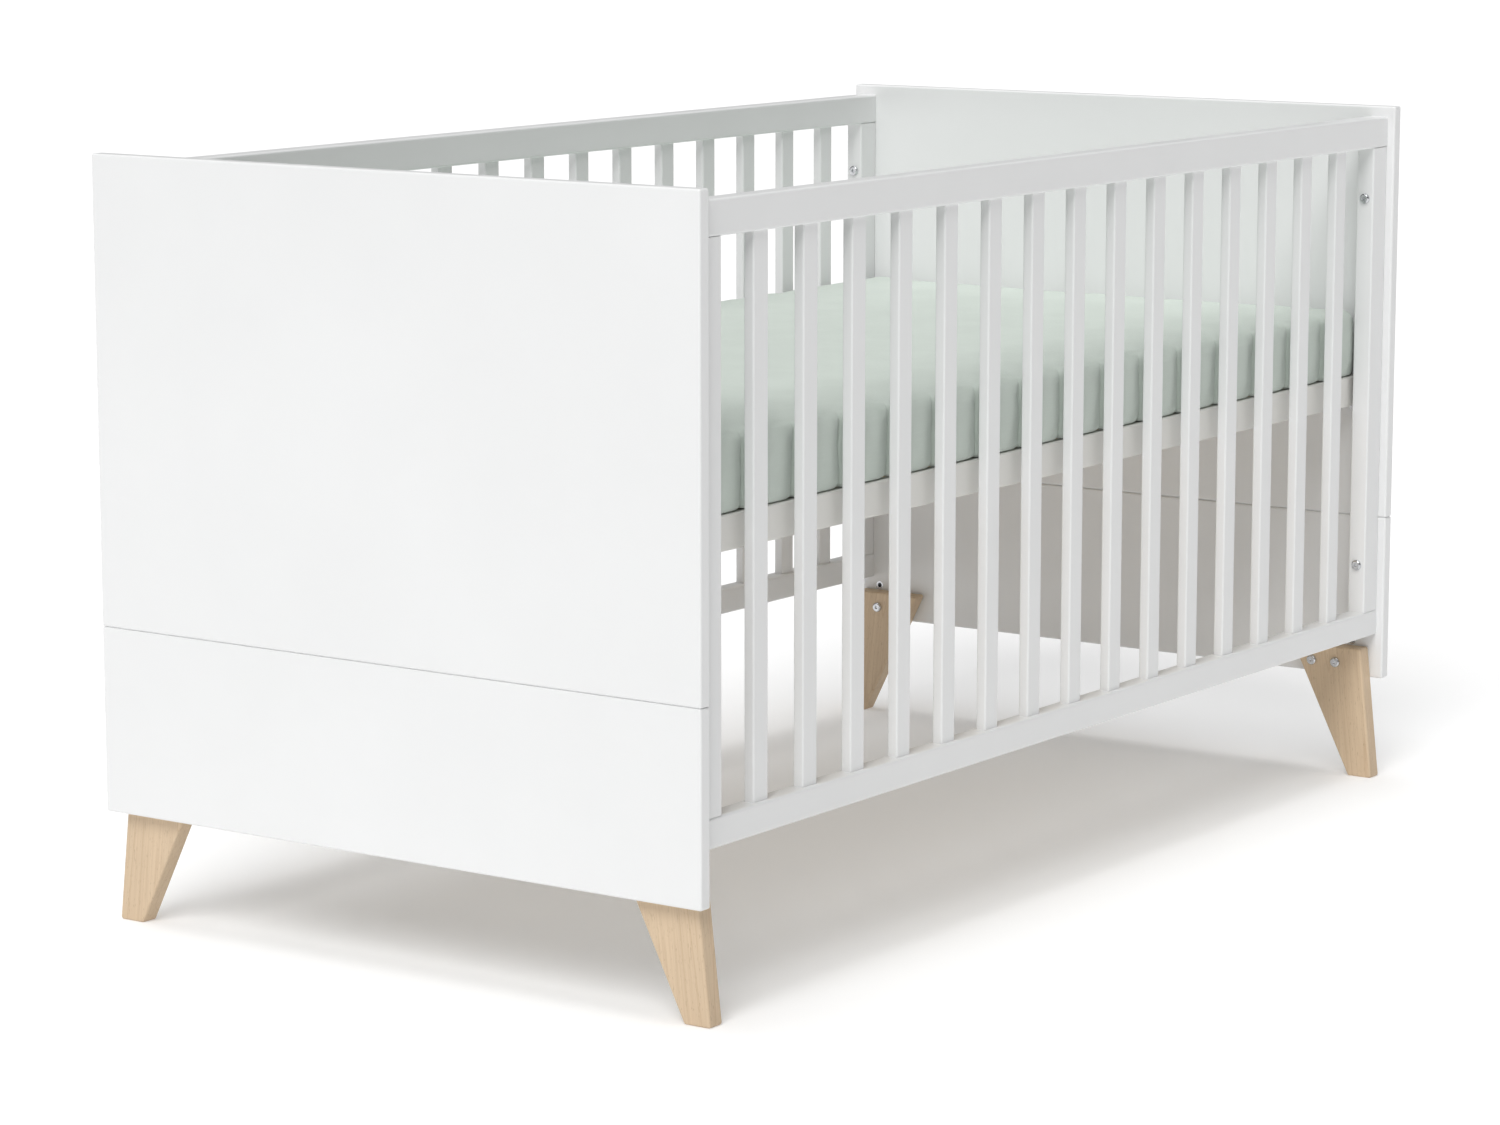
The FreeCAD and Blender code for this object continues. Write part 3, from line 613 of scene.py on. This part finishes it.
def sheet_blank(hem, creases):
    """The sheet as a taut box with a hole below, cut finely enough to fold at the creases."""
    shape = rounded_block(SHEET_LOW, SHEET_HIGH, UPRIGHT_ROUND, TOP_ROUND, FOOT_ROUND)
    hole = Vector((SHEET_HIGH.x - hem, SHEET_HIGH.y - hem))
    apart, wide, rows, margin, corner_reach, rounds = 0.002, 36, 11, 0.001, 0.06, 8
    end = SHEET_HIGH.x - UPRIGHT_ROUND - 0.003
    places = {crease + step * BAR_PITCH for crease in creases for step in CREASE_STEPS}
    cuts = sorted(place for place in places
                  if abs(place) < end and abs(abs(place) - hole.x) > apart)
    cut_across(shape, "x", [*cuts, -hole.x, hole.x])
    width = SHEET_HIGH.y - UPRIGHT_ROUND - 0.002
    across = [width * (2 * number / wide - 1) for number in range(wide + 1)]
    cut_across(shape, "y", [place for place in across if abs(abs(place) - hole.y) > 2 * apart]
               + [-hole.y, hole.y])
    foot = SHEET_LOW.z + FOOT_ROUND + margin
    depth = SHEET_HIGH.z - TOP_ROUND - margin - foot
    cut_across(shape, "z", [foot + depth * number / rows for number in range(rows + 1)])
    inside = [face for face in shape.faces if face.normal.z < -0.9
              and abs(face.calc_center_median().x) < hole.x
              and abs(face.calc_center_median().y) < hole.y]
    bmesh.ops.delete(shape, geom=inside, context="FACES")
    corners = [vert for vert in shape.verts if vert.is_boundary
               and hole.x - abs(vert.co.x) + hole.y - abs(vert.co.y) < corner_reach]
    for _ in range(rounds):
        bmesh.ops.smooth_vert(shape, verts=corners, factor=0.5, use_axis_x=True, use_axis_y=True)
    return shape


def fade(distance, reach):
    """1 at no distance, falling evenly to 0 at the reach."""
    return max(0.0, 1.0 - distance / reach)


def hold_sheet(piece, creases, bedding):
    """Draw the sheet in behind the bars and at its corner seams, and say how firmly it is held."""
    half = Vector((SHEET_HIGH.x, SHEET_HIGH.y))
    seam_near, seam_far, drawn = 0.005, 0.010, 0.002
    side_band, top_band, foot_band = 0.016, 0.02, 0.003
    fold_reach, held_reach, lift_reach, sway_reach = 0.035, 0.04, 0.14, 0.25  # in bar pitches
    lift, lift_height, sway_size = 0.003, 0.025, 0.0035
    pins = []
    for vertex in piece.data.vertices:
        place = vertex.co
        in_x, in_y = half.x - abs(place.x), half.y - abs(place.y)
        low, high = place.z - SHEET_LOW.z, SHEET_HIGH.z - place.z
        hold = 1.0 if min(in_x, in_y) > top_band or low < foot_band else 0.0
        shoulder = max(0.0, min(1.0, (high - 0.001) / 0.016, (low + 0.003) / 0.008))
        if seam_near < in_x < seam_far and seam_near < in_y < seam_far:
            place.x -= math.copysign(drawn * shoulder, place.x)
            place.y -= math.copysign(drawn * shoulder, place.y)
            hold = max(hold, shoulder)
        elif in_y < side_band and in_x > UPRIGHT_ROUND:
            crease = min(creases, key=lambda item: abs(item - place.x))
            away = abs(crease - place.x) / BAR_PITCH
            depth = drawn + bedding.crease * fade(away, fold_reach)
            place.y -= math.copysign(depth * shoulder, place.y)
            place.z += lift * fade(away, lift_reach) ** 2 * fade(low, lift_height)
            sway = noise.noise(Vector((crease * 31.0, place.z * 42.0, place.y)))
            place.x += sway_size * sway * shoulder * fade(away, sway_reach)
            hold = max(hold, shoulder if away < held_reach else 0.0)
        pins.append(hold)
    return pins


def ruffle(piece, bedding):
    """Slack and handling marks left in the sheet, kept clear of the crib's sides and ends."""
    limit = Vector((SHEET_HIGH.x + 0.0035, SHEET_HIGH.y + bedding.bulge))
    wrinkle_scale = 14.0
    for vertex in piece.data.vertices:
        place = vertex.co
        near = noise.fractal(place * wrinkle_scale, 0.6, 2.0, 3)
        drift = noise.noise(Vector((place.x * 5.0 + 3.1, place.y * 16.0, place.z * 20.0)))
        if place.z > SHEET_HIGH.z - 0.004:
            place.z += 0.0006 * near + 0.0010 * drift
        elif place.z > SHEET_LOW.z + 0.01:
            place.y += math.copysign(0.0009 * near, place.y)
            place.x += math.copysign(0.0012 * near, place.x)
        place.x = max(-limit.x, min(limit.x, place.x))
        place.y = max(-limit.y, min(limit.y, place.y))


def gathered_elastic(sheet, bedding, cotton):
    """The gathered band sewn to the sheet's edge, under the mattress."""
    lift, core_inset, thickness = 0.0012, 0.04, 0.001
    gather_height, gather_turn = 0.0006, 760.0
    shape = bmesh.new()
    shape.from_mesh(sheet.data)
    bmesh.ops.delete(shape, geom=[edge for edge in shape.edges if not edge.is_boundary],
                     context="EDGES")
    bmesh.ops.delete(shape, geom=[vert for vert in shape.verts if not vert.link_edges],
                     context="VERTS")
    bmesh.ops.subdivide_edges(shape, edges=shape.edges[:], cuts=3)
    for vert in shape.verts:
        vert.co.z = SHEET_LOW.z + lift
    inner = Vector((SHEET_HIGH.x - bedding.hem - core_inset,
                    SHEET_HIGH.y - bedding.hem - core_inset))
    made = bmesh.ops.extrude_edge_only(shape, edges=shape.edges[:])
    for vert in (item for item in made["geom"] if isinstance(item, bmesh.types.BMVert)):
        place = vert.co
        core = Vector((max(-inner.x, min(inner.x, place.x)), max(-inner.y, min(inner.y, place.y)),
                       place.z))
        place += (core - place).normalized() * bedding.elastic_width
        place.z += gather_height * math.sin(gather_turn * (place.x + place.y))
    bmesh.ops.recalc_face_normals(shape, faces=shape.faces[:])
    bmesh.ops.solidify(shape, geom=shape.faces[:], thickness=thickness)
    bmesh.ops.recalc_face_normals(shape, faces=shape.faces[:])
    return new_piece("sheet_elastic", shape, cotton)


class CRIB_OT_fitted_sheet(Operator):
    """Stretch the fitted jersey sheet over the mattress and gather its elastic hem"""
    bl_idname = "crib.fitted_sheet"
    bl_label = "Fitted sheet"

    def execute(self, context):
        bedding = context.scene.crib_bedding
        travel, pressure, slack, seam_allowance = 0.007, 3.2, 0.007, 0.02
        creases = crease_places()
        shape = sheet_blank(bedding.hem, creases)
        half = Vector((SHEET_HIGH.x, SHEET_HIGH.y))
        flat_layout(shape, half, SHEET_HIGH.z)
        cotton = knit("jersey_cotton", bedding.sheet_colour, "UV", 0.0009, 0.25)
        piece = new_piece("jersey_sheet", shape, cotton)
        pins = hold_sheet(piece, creases, bedding)
        settle(piece, bedding.settle_frames, travel, pressure, pins, slack)
        ruffle(piece, bedding)
        hem = gathered_elastic(piece, bedding, cotton)
        subdivide_smooth(piece)
        for part in (piece, hem):
            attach(part, "mattress")
        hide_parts("fitted_sheet")
        return {"FINISHED"}


class CRIB_OT_studio(Operator):
    """Set the camera, the floor and the soft light"""
    bl_idname = "crib.studio"
    bl_label = "Studio"

    def execute(self, context):
        studio, scene = context.scene.crib_studio, context.scene
        turn, rise = studio.azimuth, studio.elevation
        back = Vector((math.sin(turn) * math.cos(rise), -math.cos(turn) * math.cos(rise),
                       math.sin(rise)))
        camera = bpy.data.cameras.new("studio_camera")
        camera.lens, camera.sensor_width = studio.lens, SENSOR_WIDTH
        camera.clip_end = 100.0
        stand = bpy.data.objects.new("studio_camera", camera)
        stand.location = CAMERA_TARGET + back * studio.distance
        stand.rotation_euler = (-back).to_track_quat("-Z", "Y").to_euler()
        scene.collection.objects.link(stand)
        scene.camera = stand
        self.lights(scene, studio)
        self.floor(studio, CAD_BOX[0].z)
        scene.view_settings.view_transform = "Standard"
        return {"FINISHED"}

    def lights(self, scene, studio):
        """Light from all round, a soft window over the foot end and a weaker one from above."""
        world = bpy.data.worlds.new("studio_room")
        world.use_nodes = True
        sky = world.node_tree.nodes["Background"].inputs
        sky["Color"].default_value = (1.0, 1.0, 1.0, 1.0)
        sky["Strength"].default_value = studio.daylight
        scene.world = world
        for name, strength, place in (("window_light", studio.window_light, WINDOW_PLACE),
                                      ("top_light", studio.top_light, TOP_PLACE)):
            light = bpy.data.lights.new(name, "SUN")
            light.energy, light.angle = strength, studio.softness
            lamp = bpy.data.objects.new(name, light)
            lamp.location = place
            lamp.rotation_euler = place.to_track_quat("Z", "Y").to_euler()
            scene.collection.objects.link(lamp)

    def floor(self, studio, height):
        """A plain pale floor under the feet."""
        shape = bmesh.new()
        bmesh.ops.create_grid(shape, x_segments=8, y_segments=8, size=studio.floor_size / 2,
                              matrix=Matrix.Translation((0.0, 0.0, height)))
        new_piece("studio_floor", shape,
                           lit_panel("pale_floor", (0.80, 0.80, 0.80), studio.floor_glow))


STEPS = (CRIB_OT_studio, CRIB_OT_end_boards, CRIB_OT_slatted_sides, CRIB_OT_legs,
         CRIB_OT_mattress_base, CRIB_OT_fittings, CRIB_OT_mattress, CRIB_OT_fitted_sheet)


class CRIB_PT_sidebar(Panel):
    """The crib's pieces and settings in the sidebar"""
    bl_idname = "CRIB_PT_sidebar"
    bl_label = "Slatted Crib"
    bl_space_type = "VIEW_3D"
    bl_region_type = "UI"
    bl_category = "Crib"

    def draw(self, context):
        for name in SETTINGS:
            group = getattr(context.scene, name)
            box = self.layout.box()
            for setting in group.__annotations__:
                box.prop(group, setting)
        for step in STEPS:
            self.layout.operator(step.bl_idname)


SETTINGS = {"crib_timber": CribTimberSettings, "crib_bedding": CribBeddingSettings,
            "crib_studio": CribStudioSettings}
CLASSES = (*SETTINGS.values(), *STEPS, CRIB_PT_sidebar)


def register():
    """Register the classes and hang the settings on the scene."""
    for item in CLASSES:
        bpy.utils.register_class(item)
    for name, group in SETTINGS.items():
        setattr(bpy.types.Scene, name, PointerProperty(type=group))


def unregister():
    """Take everything away again."""
    for name in SETTINGS:
        delattr(bpy.types.Scene, name)
    for item in reversed(CLASSES):
        bpy.utils.unregister_class(item)


def main():
    """Build the crib's looks step by step."""
    register()
    for step in STEPS:
        group, action = step.bl_idname.split(".")
        getattr(getattr(bpy.ops, group), action)()


if __name__ == "__main__":
    main()
